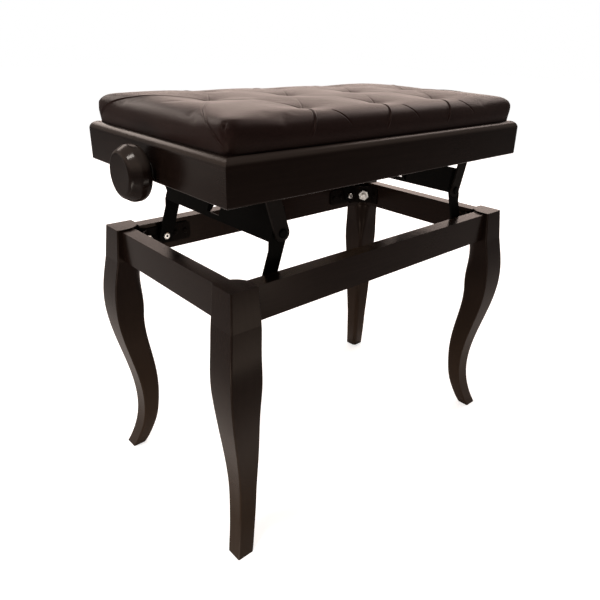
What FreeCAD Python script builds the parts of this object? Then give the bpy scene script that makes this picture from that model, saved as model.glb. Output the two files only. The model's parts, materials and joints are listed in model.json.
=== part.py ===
import FreeCAD, Part
import math
import operator
import os
from types import SimpleNamespace

import Sketcher

# Adjustable piano bench: a tufted seat carried by a screw-driven scissor lift on a four-legged frame.
# Millimetres, +Z up. The origin is on the floor under the middle of the bench, X runs along it and
# the front looks towards -Y. The seat is drawn raised. Most pieces are drawn once, in the front left
# quarter, and mirrored.

SIZES = {
    # Seat frame, raised
    "seat_length": 560,
    "seat_depth": 330,
    "apron_height": 52,
    "apron_thickness": 20,
    "apron_edge_round": 10.5,
    "raised_gap": 96.5,
    "block_side": 45,
    "block_height": 25,
    "board_thickness": 12,
    "board_gap": 2,
    # Cushion
    "cushion_inset": 8,
    "cushion_corner": 12,
    "cushion_draw_in": 2.2,
    "cushion_side": 36.5,
    "cushion_shoulder": 14,
    "cushion_crown": 4.5,
    "crown_flat": 60,
    "cushion_gap": 0.3,
    "tuft_end_margin": 80.5,
    "tuft_row_margin": 50,
    "tuft_depth": 9,
    "tuft_radius": 24,
    "tuft_pinch": 2,
    # Lower frame
    "frame_setback": 5,
    "frame_top": 385,
    "post_rise": 2.5,
    "rail_height": 45,
    "rail_thickness": 21,
    "rail_inset": 6,
    "tenon_length": 9.5,
    "tenon_thickness": 8,
    "tenon_shoulder": 6,
    "wood_gap": 0.1,
    "arris_round": 2,
    # Legs: how far the outer corner swings out and the width of each outer face, by height, and how
    # round the inner corner is at the post and below it
    "post_width": 39,
    "post_round": 26,
    "leg_round": 7,
    "knee_height": 268,
    "knee_swing": 11.6,
    "knee_width": 45.5,
    "ankle_height": 85,
    "ankle_swing": -13.6,
    "ankle_width": 27.7,
    "foot_swing": 3,
    "foot_width": 24,
    # Corner braces and leg bolts
    "brace_thickness": 2.5,
    "brace_height": 32,
    "brace_reach": 23.5,
    "brace_wing": 15.5,
    "brace_clearance": 1,
    "bolt_radius": 5,
    "bolt_depth": 26,
    "bolt_spare": 5,
    "nut_radius": 9.8,
    "nut_height": 8,
    # Wood screws
    "screw_radius": 2,
    "screw_length": 15,
    "screw_head_radius": 4.2,
    "screw_head_height": 2.6,
    "block_screw_bite": 8,
    # Scissor lift
    "pivot_drop": 23,
    "arm_run": 42,
    "plate_width": 21,
    "plate_thickness": 3,
    "plate_flat": 1,
    "side_play": 0.5,
    "bracket_length": 54,
    "bracket_height": 28,
    "bracket_edge": 9,
    "bracket_round": 6,
    "bracket_screw_pitch": 18,
    "cross_start": 55,
    "cross_length": 46,
    "cross_notch": 39,
    "ear_spread": 14,
    "pin_radius": 4,
    "rivet_bore": 2,
    "rivet_head_radius": 5,
    "pin_head_radius": 6,
    "pin_head_height": 2.5,
    "head_round": 1.5,
    "running_gap": 0.06,
    # Screw spindle and knobs
    "spindle_rise": 11.5,
    "spindle_radius": 6,
    "trunnion_radius": 5,
    "nut_length": 24,
    "nut_depth": 22,
    "bush_radius": 9,
    "flange_radius": 13,
    "flange_thickness": 2,
    "collar_radius": 11,
    "collar_width": 10,
    "grub_radius": 2.5,
    "knob_radius": 34,
    "knob_thickness": 28.5,
    "knob_back_round": 10,
    "knob_belly_round": 9,
    "knob_face_step": 7,
    "knob_face_bevel": 12,
    "knob_face_round": 7,
    "knob_neck_radius": 14,
    "knob_neck_length": 5.5,
    "knob_wall": 8,
}

QUARTERS = ("front_left", "front_right", "rear_left", "rear_right")
RIGHT = FreeCAD.Vector(1, 0, 0)
BACK = FreeCAD.Vector(0, 1, 0)
UP = FreeCAD.Vector(0, 0, 1)
INWARD = FreeCAD.Vector(1, 1, 0)


class Size:
    """A length of the bench: its number now, and the expression over the sheet that gives it."""

    def __init__(self, value, text):
        self.value = value
        self.text = text

    def __add__(self, other):
        return combine(self, "+", other, operator.add)

    def __radd__(self, other):
        return combine(other, "+", self, operator.add)

    def __sub__(self, other):
        return combine(self, "-", other, operator.sub)

    def __rsub__(self, other):
        return combine(other, "-", self, operator.sub)

    def __mul__(self, other):
        return combine(self, "*", other, operator.mul)

    def __rmul__(self, other):
        return combine(other, "*", self, operator.mul)

    def __truediv__(self, other):
        return combine(self, "/", other, operator.truediv)

    def __neg__(self):
        return 0 - self


def as_size(number):
    """A Size as it is, or a plain number as a Size."""
    if isinstance(number, Size):
        return number
    return Size(number, f"({number:.9f})")


def combine(left, sign, right, work):
    left = as_size(left)
    right = as_size(right)
    return Size(work(left.value, right.value), f"({left.text} {sign} {right.text})")


def root(size):
    return Size(math.sqrt(size.value), f"sqrt({size.text})")


def rise_angle(sine):
    """The angle, in degrees, whose sine is given."""
    return Size(math.degrees(math.asin(sine.value)), f"(asin({sine.text}) / 1 deg)")


doc = FreeCAD.newDocument("piano_bench")
sheet = doc.addObject("Spreadsheet::Sheet", "sizes")
for row, (name, number) in enumerate(SIZES.items(), start=1):
    sheet.set(f"A{row}", name)
    sheet.set(f"B{row}", str(number))
    sheet.setAlias(f"B{row}", name)
doc.recompute()
d = SimpleNamespace(**{name: Size(float(sheet.get(name)), f"sizes.{name}") for name in SIZES})
nodes = []

# Levels and places that several pieces share
apron_bottom = d.frame_top + d.raised_gap
apron_top = apron_bottom + d.apron_height
board_bottom = apron_top - d.board_thickness
rail_top = d.frame_top - d.post_rise
rail_bottom = rail_top - d.rail_height
rail_middle = rail_top - d.rail_height / 2
apron_x = d.seat_length / 2
apron_y = d.seat_depth / 2
frame_x = apron_x - d.frame_setback
frame_y = apron_y - d.frame_setback
rail_inner_x = frame_x - d.rail_inset - d.rail_thickness
rail_inner_y = frame_y - d.rail_inset - d.rail_thickness
apron_inner_x = apron_x - d.apron_thickness
apron_inner_y = apron_y - d.apron_thickness

# The lift's pivots: each arm runs from its lower pivot through the knuckle to its nut, and each
# link, half as long, from the knuckle to the upper pivot straight above the lower one. The lower
# brackets start just clear of the corner braces
brace_tip = d.brace_reach + d.brace_wing
pivot_x = rail_inner_x - brace_tip - d.brace_clearance - d.bracket_edge
pivot_z = d.frame_top - d.pivot_drop
spindle_z = apron_bottom + d.spindle_rise
arm_rise = spindle_z - pivot_z
arm_pitch = root(arm_rise * arm_rise + d.arm_run * d.arm_run) / 2
lift_angle = rise_angle(arm_rise / (2 * arm_pitch))
knuckle_x = pivot_x - d.arm_run / 2
knuckle_z = pivot_z + arm_rise / 2
nut_x = pivot_x - d.arm_run

# Layers of the lift across the bench, from the rails inwards
bracket_y = rail_inner_y - d.plate_thickness
link_y = bracket_y - d.side_play - d.plate_thickness
arm_y = link_y - d.side_play - d.plate_thickness
upper_bracket_y = apron_inner_y - d.plate_thickness


def place(thing, base, turn=None):
    """Puts a thing at a base point bound to the sheet, turned by a fixed rotation."""
    if turn:
        thing.Placement = FreeCAD.Placement(FreeCAD.Vector(), turn)
    for letter, size in zip("xyz", base):
        thing.setExpression(f"Placement.Base.{letter}", as_size(size).text)
    return thing


def towards(direction):
    """The rotation that turns +Z to a direction."""
    return FreeCAD.Rotation(UP, direction)


def bind(thing, **sizes):
    for name, size in sizes.items():
        thing.setExpression(name, as_size(size).text)
    return thing


def box(name, low, high):
    thing = doc.addObject("Part::Box", name)
    bind(thing, Length=high[0] - low[0], Width=high[1] - low[1], Height=high[2] - low[2])
    return place(thing, low)


def rod(name, base, direction, radius, length):
    thing = doc.addObject("Part::Cylinder", name)
    bind(thing, Radius=radius, Height=length)
    return place(thing, base, towards(direction))


def group(name, things):
    thing = doc.addObject("Part::Compound", name)
    thing.Links = things
    return thing


def fuse(name, base, tool):
    thing = doc.addObject("Part::Fuse", name)
    thing.Base = base
    thing.Tool = tool
    return thing


def common(name, base, tool):
    thing = doc.addObject("Part::Common", name)
    thing.Base = base
    thing.Tool = tool
    return thing


def cut(name, base, tools):
    thing = doc.addObject("Part::Cut", name)
    thing.Base = base
    thing.Tool = group(name + "_cuts", tools)
    return thing


def mirror(name, source, normal):
    thing = doc.addObject("Part::Mirroring", name)
    thing.Source = source
    thing.Normal = normal
    return thing


def keep(thing, label):
    """Names a finished sub-part and lists it for its file."""
    thing.Label = label
    nodes.append(thing)
    return thing


def four(source, name):
    """The front left piece and its three mirror images, in the order of QUARTERS."""
    front_right = mirror(name + "_front_right_copy", source, RIGHT)
    rear_left = mirror(name + "_rear_left_copy", source, BACK)
    rear_right = mirror(name + "_rear_right_copy", rear_left, RIGHT)
    return [source, front_right, rear_left, rear_right]


def keep_four(source, name):
    for thing, quarter in zip(four(source, name), QUARTERS):
        keep(thing, f"{name}_{quarter}")


def keep_pair(source, normal, label, other_label):
    keep(source, label)
    keep(mirror(other_label + "_copy", source, normal), other_label)


def new_body(name):
    return doc.addObject("PartDesign::Body", name)


def pin_coordinates(made, shape, position, point):
    """Holds one point of a sketch's geometry at coordinates bound to the sheet."""
    for kind, size in zip(("DistanceX", "DistanceY"), point):
        size = as_size(size)
        index = made.addConstraint(Sketcher.Constraint(kind, shape, position, size.value))
        made.setExpression(f"Constraints[{index}]", size.text)


def hold_radius(made, shape, radius):
    radius = as_size(radius)
    index = made.addConstraint(Sketcher.Constraint("Radius", shape, radius.value))
    made.setExpression(f"Constraints[{index}]", radius.text)


def spot(point):
    return FreeCAD.Vector(as_size(point[0]).value, as_size(point[1]).value, 0)


def corner_arc(before, corner, after, radius):
    """The arc that rounds a corner, with its ends in the outline's order and its turning sense."""
    inward = (before - corner).normalize()
    onward = (after - corner).normalize()
    half = math.acos(max(-1.0, min(1.0, inward.dot(onward)))) / 2
    reach = radius / math.tan(half)
    start = corner + inward * reach
    end = corner + onward * reach
    centre = corner + (inward + onward).normalize() * (radius / math.sin(half))
    left_turn = (corner - before).cross(after - corner).z > 0
    first, last = (start, end) if left_turn else (end, start)
    angles = [math.atan2(point.y - centre.y, point.x - centre.x) for point in (first, last)]
    arc = Part.ArcOfCircle(Part.Circle(centre, UP, radius), *angles)
    return arc, start, end, left_turn


def sketch(body, name, plane, level, outline, holes=()):
    """A closed outline of corners (x, y) or rounded corners (x, y, radius), with round holes."""
    made = body.newObject("Sketcher::SketchObject", name)
    support = [feature for feature in body.Origin.OriginFeatures if feature.Role == plane]
    made.AttachmentSupport = [(support[0], "")]
    made.MapMode = "FlatFace"
    made.setExpression("AttachmentOffset.Base.z", as_size(level).text)
    count = len(outline)
    spots = [spot(corner) for corner in outline]
    arcs = {}
    for index, corner in enumerate(outline):
        if len(corner) > 2:
            radius = as_size(corner[2]).value
            arcs[index] = corner_arc(spots[index - 1], spots[index], spots[(index + 1) % count], radius)
    lines = []
    for index in range(count):
        after = (index + 1) % count
        start = arcs[index][2] if index in arcs else spots[index]
        end = arcs[after][1] if after in arcs else spots[after]
        lines.append(made.addGeometry(Part.LineSegment(start, end), False))
    for index, corner in enumerate(outline):
        before = lines[index - 1]
        if index not in arcs:
            made.addConstraint(Sketcher.Constraint("Coincident", before, 2, lines[index], 1))
            pin_coordinates(made, lines[index], 1, corner[:2])
            continue
        arc, start, end, left_turn = arcs[index]
        shape = made.addGeometry(arc, False)
        arc_ends = (1, 2) if left_turn else (2, 1)
        made.addConstraint(Sketcher.Constraint("Tangent", before, 2, shape, arc_ends[0]))
        made.addConstraint(Sketcher.Constraint("Tangent", lines[index], 1, shape, arc_ends[1]))
        hold_radius(made, shape, corner[2])
        tip = made.addGeometry(Part.Point(spots[index]), True)
        made.addConstraint(Sketcher.Constraint("PointOnObject", tip, 1, before))
        made.addConstraint(Sketcher.Constraint("PointOnObject", tip, 1, lines[index]))
        pin_coordinates(made, tip, 1, corner[:2])
    for x, y, radius in holes:
        circle = Part.Circle(spot((x, y)), UP, as_size(radius).value)
        shape = made.addGeometry(circle, False)
        pin_coordinates(made, shape, 3, (x, y))
        hold_radius(made, shape, radius)
    return made


def pad(body, profile, length):
    feature = body.newObject("PartDesign::Pad", profile.Name + "_pad")
    feature.Profile = profile
    return bind(feature, Length=length)


def loft(body, sections, ruled=False):
    feature = body.newObject("PartDesign::AdditiveLoft", sections[0].Name + "_loft")
    feature.Profile = sections[0]
    feature.Sections = sections[1:]
    feature.Ruled = ruled
    return feature


def plate(name, plane, level, thickness, outline, holes=()):
    body = new_body(name)
    pad(body, sketch(body, name + "_outline", plane, level, outline, holes), thickness)
    return body


def turned(name, base, direction, outline):
    """A turned piece from its half profile of (radius, height) corners, along a direction."""
    body = new_body(name)
    profile = sketch(body, name + "_profile", "XZ_Plane", 0, outline)
    feature = body.newObject("PartDesign::Revolution", name + "_turn")
    feature.Profile = profile
    feature.ReferenceAxis = (profile, ["V_Axis"])
    feature.Angle = 360
    return place(body, base, towards(direction))


def stepped(name, base, direction, steps, bore=0, last_round=None):
    """A turned pin or ring: steps of (radius, length) one after another round a bore."""
    outline = [(bore, 0)]
    height = 0
    for index, (radius, length) in enumerate(steps):
        outline.append((radius, height))
        height = height + length
        rounded = last_round is not None and index == len(steps) - 1
        outline.append((radius, height, last_round) if rounded else (radius, height))
    outline.append((bore, height))
    return turned(name, base, direction, outline)


def screw(name, base, direction, length):
    """A round-headed wood screw: the base is under its head and the direction points out of the wood."""
    point = 2 * d.screw_radius
    outline = [
        (0, -length),
        (d.screw_radius, point - length),
        (d.screw_radius, 0),
        (d.screw_head_radius, 0),
        (d.screw_head_radius, d.screw_head_height, d.screw_head_height * 0.8),
        (0, d.screw_head_height),
    ]
    return turned(name, base, direction, outline)


def screw_hole(name, base, direction, depth):
    """The hole for a wood screw, from the base into the wood along a direction."""
    return rod(name, base, direction, d.screw_radius + d.running_gap, depth + d.wood_gap)


def both_sides(tools, normal):
    return tools + [mirror(tool.Name + "_other", tool, normal) for tool in tools]


# Where the wood screws of the front left quarter enter, and how far out of the wood their heads sit
bracket_screw_x = [pivot_x - d.bracket_screw_pitch * count for count in (1, 2)]
upper_screw_z = spindle_z - d.bracket_edge + d.bracket_height / 2
brace_screw_reach = d.brace_reach + d.brace_wing / 2
brace_bite = d.screw_length - d.brace_thickness
bracket_bite = d.screw_length - d.plate_thickness


def leg_section(body, name, level, swing, width, inner_round):
    """A leg's section: square outside, rounded inside, its outer corner swung out by some amount."""
    near = -swing
    far = width - swing
    outline = [
        (near, near, d.arris_round),
        (far, near, d.arris_round),
        (far, far, inner_round),
        (near, far, d.arris_round),
    ]
    return sketch(body, name, "XY_Plane", level, outline)


def knee_swing_at(level):
    """How far the outer corner has swung out at a level between the post's top and the knee."""
    share = (d.frame_top - level) / (d.frame_top - d.knee_height)
    return d.knee_swing * share * share * (3 - 2 * share)


# The post flares outwards behind the rails' ends, so that its inner faces stay upright
flare = knee_swing_at(rail_bottom)
flared_width = d.post_width + flare


def leg_stations():
    """Level, swing, width and inner round down the leg: rail to knee, knee to ankle, ankle to floor."""
    for share in (0, 1 / 3, 2 / 3):
        level = rail_bottom + (d.knee_height - rail_bottom) * share
        width = flared_width + (d.knee_width - flared_width) * share
        yield level, knee_swing_at(level), width, d.post_round + (d.leg_round - d.post_round) * share
    for share in (0, 1 / 4, 1 / 2, 3 / 4):
        ease = (1 - math.cos(math.pi * share)) / 2
        level = d.knee_height + (d.ankle_height - d.knee_height) * share
        swing = d.knee_swing + (d.ankle_swing - d.knee_swing) * ease
        yield level, swing, d.knee_width + (d.ankle_width - d.knee_width) * share, d.leg_round
    for share in (0, 1 / 4, 1 / 2, 3 / 4, 1):
        swing = d.ankle_swing + (d.foot_swing - d.ankle_swing) * share * share
        width = d.ankle_width + (d.foot_width - d.ankle_width) * share
        yield d.ankle_height * (1 - share), swing, width, d.leg_round


# Leg bolts run along the corner's diagonal, through the brace; distances are from the post's corner
brace_face = (2 * (d.rail_inset + d.rail_thickness) + d.brace_reach) / math.sqrt(2)
nut_seat = brace_face + d.brace_thickness
bolt_start = d.bolt_depth


def on_diagonal(distance):
    step = distance / math.sqrt(2)
    return (step - frame_x, step - frame_y, rail_middle)


def legs():
    body = new_body("leg_wood")
    top = leg_section(body, "post_top", d.frame_top, 0, d.post_width, d.post_round)
    bottom = leg_section(body, "post_bottom", rail_bottom, flare, flared_width, d.post_round)
    loft(body, [top, bottom], ruled=True)
    stations = enumerate(leg_stations())
    loft(body, [leg_section(body, f"leg_section_{index}", *station) for index, station in stations])
    place(body, (-frame_x, -frame_y, 0))
    half = d.tenon_thickness / 2 + d.wood_gap
    low = rail_bottom + d.tenon_shoulder - d.wood_gap
    high = rail_top - d.tenon_shoulder + d.wood_gap
    middle = d.rail_inset + d.rail_thickness / 2
    tip = d.post_width - d.tenon_length - d.wood_gap
    front = box(
        "front_mortise",
        (tip - frame_x, middle - half - frame_y, low),
        (d.post_width + d.tenon_length - frame_x, middle + half - frame_y, high),
    )
    side = box(
        "side_mortise",
        (middle - half - frame_x, tip - frame_y, low),
        (middle + half - frame_x, d.post_width + d.tenon_length - frame_y, high),
    )
    bolt = rod(
        "leg_bolt_hole",
        on_diagonal(bolt_start - d.wood_gap),
        INWARD,
        d.bolt_radius + d.running_gap,
        brace_face - bolt_start,
    )
    keep_four(cut("leg_cut", body, [front, side, bolt]), "leg")


def board_with_tenons(name, low, high, along):
    """A rail between two corners with a tenon at each end along X (0) or Y (1)."""
    across = 1 - along
    middle = (low[across] + high[across]) / 2
    tenon_low = [None, None, low[2] + d.tenon_shoulder]
    tenon_high = [None, None, high[2] - d.tenon_shoulder]
    tenon_low[along] = low[along] - d.tenon_length
    tenon_high[along] = high[along] + d.tenon_length
    tenon_low[across] = middle - d.tenon_thickness / 2
    tenon_high[across] = middle + d.tenon_thickness / 2
    return fuse(name, box(name + "_board", low, high), box(name + "_tenons", tenon_low, tenon_high))


def rails():
    end = frame_x - d.post_width
    low = (-end, d.rail_inset - frame_y, rail_bottom)
    high = (end, -rail_inner_y, rail_top)
    front = board_with_tenons("front_rail_wood", low, high, 0)
    holes = [
        screw_hole(f"bracket_hole_{index}", (-x, -rail_inner_y, pivot_z), -BACK, bracket_bite)
        for index, x in enumerate(bracket_screw_x)
    ]
    spot_x = brace_screw_reach - rail_inner_x
    holes.append(screw_hole("brace_hole_front", (spot_x, -rail_inner_y, rail_middle), -BACK, brace_bite))
    keep_pair(cut("front_rail_cut", front, both_sides(holes, RIGHT)), BACK, "front_rail", "rear_rail")
    end = frame_y - d.post_width
    low = (d.rail_inset - frame_x, -end, rail_bottom)
    high = (-rail_inner_x, end, rail_top)
    left = board_with_tenons("left_rail_wood", low, high, 1)
    spot_y = brace_screw_reach - rail_inner_y
    holes = [screw_hole("brace_hole_left", (-rail_inner_x, spot_y, rail_middle), -RIGHT, brace_bite)]
    keep_pair(cut("left_rail_cut", left, both_sides(holes, BACK)), RIGHT, "left_rail", "right_rail")


def braces():
    """Bent plates across the inside corners, a wing flat on each rail."""
    bend = d.brace_thickness * math.tan(math.pi / 8)
    outline = [
        (brace_tip, 0),
        (brace_tip, d.brace_thickness),
        (d.brace_reach + bend, d.brace_thickness),
        (d.brace_thickness, d.brace_reach + bend),
        (d.brace_thickness, brace_tip),
        (0, brace_tip),
        (0, d.brace_reach),
        (d.brace_reach, 0),
    ]
    plain = plate("brace_plate", "XY_Plane", rail_middle - d.brace_height / 2, d.brace_height, outline)
    place(plain, (-rail_inner_x, -rail_inner_y, 0))
    long_screw = (brace_screw_reach - rail_inner_x, -rail_inner_y, rail_middle)
    short_screw = (-rail_inner_x, brace_screw_reach - rail_inner_y, rail_middle)
    holes = [
        screw_hole("brace_screw_hole_long", long_screw, BACK, d.brace_thickness),
        screw_hole("brace_screw_hole_short", short_screw, RIGHT, d.brace_thickness),
        rod("brace_bolt_hole", on_diagonal(brace_face - d.brace_thickness), INWARD,
            d.bolt_radius + d.running_gap, 3 * d.brace_thickness),
    ]
    keep_four(cut("brace_cut", plain, holes), "brace")
    long_head = (long_screw[0], long_screw[1] + d.brace_thickness, rail_middle)
    short_head = (short_screw[0] + d.brace_thickness, short_screw[1], rail_middle)
    screws = group("brace_screws_front_left", [
        screw("brace_screw_long", long_head, BACK, d.screw_length),
        screw("brace_screw_short", short_head, RIGHT, d.screw_length),
    ])
    keep(group("brace_screw_group", four(screws, "brace_screw")), "brace_screws")


def leg_bolts():
    length = nut_seat + d.nut_height + d.bolt_spare - bolt_start
    bolt = stepped("leg_bolt", on_diagonal(bolt_start), INWARD, [(d.bolt_radius, length)],
                   last_round=d.head_round)
    keep(group("leg_bolt_group", four(bolt, "leg_bolt")), "leg_bolts")
    hexagon = doc.addObject("Part::Prism", "leg_nut_hexagon")
    hexagon.Polygon = 6
    bind(hexagon, Circumradius=d.nut_radius, Height=d.nut_height)
    place(hexagon, on_diagonal(nut_seat), towards(INWARD))
    bore = rod("leg_nut_bore", on_diagonal(nut_seat - d.side_play), INWARD,
               d.bolt_radius + d.running_gap, d.nut_height + 2 * d.side_play)
    keep(group("leg_nut_group", four(cut("leg_nut_cut", hexagon, [bore]), "leg_nut")), "leg_nuts")


def bracket(name, level, bottom, pin_z, screw_z):
    """A pivot bracket: a rounded plate with a pin hole near one end and two screw holes."""
    low = -pivot_x - d.bracket_edge
    high = low + d.bracket_length
    top = bottom + d.bracket_height
    outline = [(x, z, d.bracket_round) for x, z in ((low, bottom), (high, bottom), (high, top), (low, top))]
    holes = [(-pivot_x, pin_z, d.pin_radius + d.running_gap)]
    holes += [(-x, screw_z, d.screw_radius + d.running_gap) for x in bracket_screw_x]
    return plate(name, "XZ_Plane", level, d.plate_thickness, outline, holes)


def bracket_screws(name, level, screw_z):
    things = [
        screw(f"{name}_{index}", (-x, -level, screw_z), BACK, d.screw_length)
        for index, x in enumerate(bracket_screw_x)
    ]
    return group(name + "_group", four(group(name + "_front_left", things), name))


def lower_pivots():
    bottom = pivot_z - d.bracket_height / 2
    keep_four(bracket("lower_bracket_plate", bracket_y, bottom, pivot_z, pivot_z), "lower_bracket")
    keep(bracket_screws("lower_bracket_screw", bracket_y, pivot_z), "lower_bracket_screws")
    grip = d.plate_thickness + 2 * d.side_play
    steps = [
        (d.pin_radius, d.plate_thickness),
        (d.pin_head_radius, bracket_y - arm_y - d.plate_thickness - d.side_play),
        (d.pin_radius, grip),
        (d.rivet_head_radius, d.pin_head_height),
    ]
    base = (-pivot_x, -rail_inner_y, pivot_z)
    pin = stepped("lower_pin", base, BACK, steps, d.rivet_bore, last_round=d.head_round)
    keep(group("lower_pin_group", four(pin, "lower_pin")), "lower_pins")


def upper_pivots():
    bottom = spindle_z - d.bracket_edge
    level = upper_bracket_y
    keep_four(bracket("upper_bracket_plate", level, bottom, spindle_z, upper_screw_z), "upper_bracket")
    keep(bracket_screws("upper_bracket_screw", level, upper_screw_z), "upper_bracket_screws")
    grip = d.plate_thickness + 2 * d.side_play
    steps = [
        (d.pin_radius, d.plate_thickness),
        (d.pin_head_radius, level - link_y - d.plate_thickness - d.side_play),
        (d.pin_radius, grip),
        (d.pin_head_radius, d.pin_head_height),
    ]
    pin = stepped("upper_pin", (-pivot_x, -apron_inner_y, spindle_z), BACK, steps, last_round=d.head_round)
    keep(group("upper_pin_group", four(pin, "upper_pin")), "upper_pins")


def lean(body, x, z, angle):
    """Stands a piece drawn along +X at a pivot of the left end, leaning up by an angle."""
    body.Placement = FreeCAD.Placement(FreeCAD.Vector(), BACK, -angle.value)
    place(body, (-x, 0, z))
    body.setExpression("Placement.Rotation.Angle", (-angle).text)
    return body


# The arm's cross plate stands off the line of the pivots by half an arm's width
half_plate = d.plate_width / 2
plate_round = half_plate - d.plate_flat / 2
cross_top = half_plate + d.plate_thickness
cross_end = d.cross_start + d.cross_length


def arms():
    end = 2 * arm_pitch + half_plate
    outline = [
        (-half_plate, -half_plate, plate_round),
        (arm_pitch + half_plate / 2, -half_plate, plate_round),
        (cross_end, half_plate / 2),
        (cross_end, cross_top),
        (d.cross_start, cross_top),
        (d.cross_start - half_plate, half_plate),
        (-half_plate, half_plate, plate_round),
    ]
    hole = d.pin_radius + d.running_gap
    holes = [(0, 0, hole), (arm_pitch, 0, hole)]
    side = plate("arm_plate", "XZ_Plane", arm_y, d.plate_thickness, outline, holes)
    keep_four(lean(side, pivot_x, pivot_z, lift_angle), "arm")
    cross = new_body("cross_plate")
    notch = cross_end - d.cross_notch
    web = [
        (d.cross_start, -arm_y),
        (cross_end, -arm_y),
        (cross_end, -d.ear_spread),
        (notch, -d.ear_spread),
        (notch, d.ear_spread),
        (cross_end, d.ear_spread),
        (cross_end, arm_y),
        (d.cross_start, arm_y),
    ]
    pad(cross, sketch(cross, "cross_web", "XY_Plane", half_plate, web), d.plate_thickness)
    ear = [
        (d.cross_start, half_plate),
        (arm_pitch + 2 * d.plate_width, -half_plate),
        (end, -half_plate, plate_round),
        (end, half_plate, plate_round),
        (cross_end, cross_top),
        (d.cross_start, cross_top),
    ]
    nut_hole = [(2 * arm_pitch, 0, d.trunnion_radius + d.running_gap)]
    for label, level in (("front_ear", d.ear_spread), ("rear_ear", -d.ear_spread - d.plate_thickness)):
        pad(cross, sketch(cross, label, "XZ_Plane", level, ear, nut_hole), d.plate_thickness)
    lean(cross, pivot_x, pivot_z, lift_angle)
    keep_pair(cross, RIGHT, "cross_plate_left", "cross_plate_right")


def knuckle_pins():
    steps = [
        (d.pin_head_radius, d.pin_head_height),
        (d.pin_radius, 2 * d.plate_thickness + 2 * d.side_play),
        (d.pin_head_radius, d.pin_head_height - d.side_play / 2),
    ]
    base = (-knuckle_x, d.pin_head_height - arm_y, knuckle_z)
    pin = stepped("knuckle_pin", base, -BACK, steps, last_round=d.head_round)
    front_left, front_right, rear_left, rear_right = four(pin, "knuckle_pin")
    keep(group("left_knuckles", [front_left, rear_left]), "knuckle_pins_left")
    keep(group("right_knuckles", [front_right, rear_right]), "knuckle_pins_right")


def links():
    far = arm_pitch + half_plate
    corners = ((-half_plate, -half_plate), (far, -half_plate), (far, half_plate), (-half_plate, half_plate))
    outline = [(x, z, plate_round) for x, z in corners]
    hole = d.pin_radius + d.running_gap
    link = plate("link_plate", "XZ_Plane", link_y, d.plate_thickness, outline,
                 [(0, 0, hole), (arm_pitch, 0, hole)])
    keep_four(lean(link, knuckle_x, knuckle_z, 180 - lift_angle), "link")


def spindle_nuts():
    """Trunnion nuts: a block round the spindle with a stub each side, in the arm's ears."""
    half_width = d.ear_spread - 2 * d.side_play
    half_length = d.nut_length / 2
    half_depth = d.nut_depth / 2
    block = box(
        "nut_block",
        (-nut_x - half_length, -half_width, spindle_z - half_depth),
        (half_length - nut_x, half_width, spindle_z + half_depth),
    )
    stub = d.ear_spread + d.plate_thickness + 2 * d.side_play
    stubs = rod("nut_stubs", (-nut_x, -stub, spindle_z), BACK, d.trunnion_radius, 2 * stub)
    bore = rod("nut_bore", (-nut_x - d.nut_length, 0, spindle_z), RIGHT,
               d.spindle_radius + d.running_gap, 2 * d.nut_length)
    keep_pair(cut("nut_cut", fuse("nut_body", block, stubs), [bore]), RIGHT, "spindle_nut_left",
              "spindle_nut_right")


def spindle():
    neck_start = apron_x + d.flange_thickness + d.side_play
    knob_length = d.knob_neck_length + d.knob_thickness
    spindle_end = neck_start + knob_length - d.knob_wall
    base = (-spindle_end, 0, spindle_z)
    keep(rod("spindle_rod", base, RIGHT, d.spindle_radius, 2 * spindle_end), "spindle")
    bore = d.spindle_radius + d.running_gap
    outline = [
        (bore, 0),
        (d.knob_neck_radius, 0),
        (d.knob_neck_radius, d.knob_neck_length),
        (d.knob_radius, d.knob_neck_length, d.knob_back_round),
        (d.knob_radius, knob_length - d.knob_face_bevel, d.knob_belly_round),
        (d.knob_radius - d.knob_face_step, knob_length, d.knob_face_round),
        (0, knob_length),
        (0, knob_length - d.knob_wall + d.wood_gap),
        (bore, knob_length - d.knob_wall + d.wood_gap),
    ]
    knob = turned("knob_wood", (-neck_start, 0, spindle_z), -RIGHT, outline)
    keep_pair(knob, RIGHT, "knob_left", "knob_right")
    steps = [(d.bush_radius, d.apron_thickness), (d.flange_radius, d.flange_thickness)]
    bush = stepped("bush_ring", (-apron_inner_x, 0, spindle_z), -RIGHT, steps, bore)
    keep_pair(bush, RIGHT, "bush_left", "bush_right")
    collar_x = d.side_play - apron_inner_x
    ring = stepped("collar_ring", (collar_x, 0, spindle_z), RIGHT, [(d.collar_radius, d.collar_width)], bore)
    grub_base = (collar_x + d.collar_width / 2, 0, spindle_z + bore)
    grub_length = d.collar_radius - bore
    hole = rod("collar_hole", grub_base, UP, d.grub_radius + d.running_gap, 2 * grub_length)
    keep_pair(cut("collar_cut", ring, [hole]), RIGHT, "collar_left", "collar_right")
    grub = rod("collar_grub", grub_base, UP, d.grub_radius, grub_length - d.side_play)
    keep(group("collar_screw_group", [grub, mirror("collar_grub_other", grub, RIGHT)]), "collar_screws")


def apron_board(name, plane, half_across, half_along, plan):
    """A mitred apron board: its section with a rounded top outer edge, run along and trimmed to a plan."""
    section = [
        (-half_across, apron_bottom, d.arris_round),
        (d.apron_thickness - half_across, apron_bottom),
        (d.apron_thickness - half_across, apron_top),
        (-half_across, apron_top, d.apron_edge_round),
    ]
    board = plate(name + "_board", plane, -half_along, 2 * half_along, section)
    return common(name, board, plate(name + "_plan", "XY_Plane", apron_bottom, d.apron_height, plan))


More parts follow.
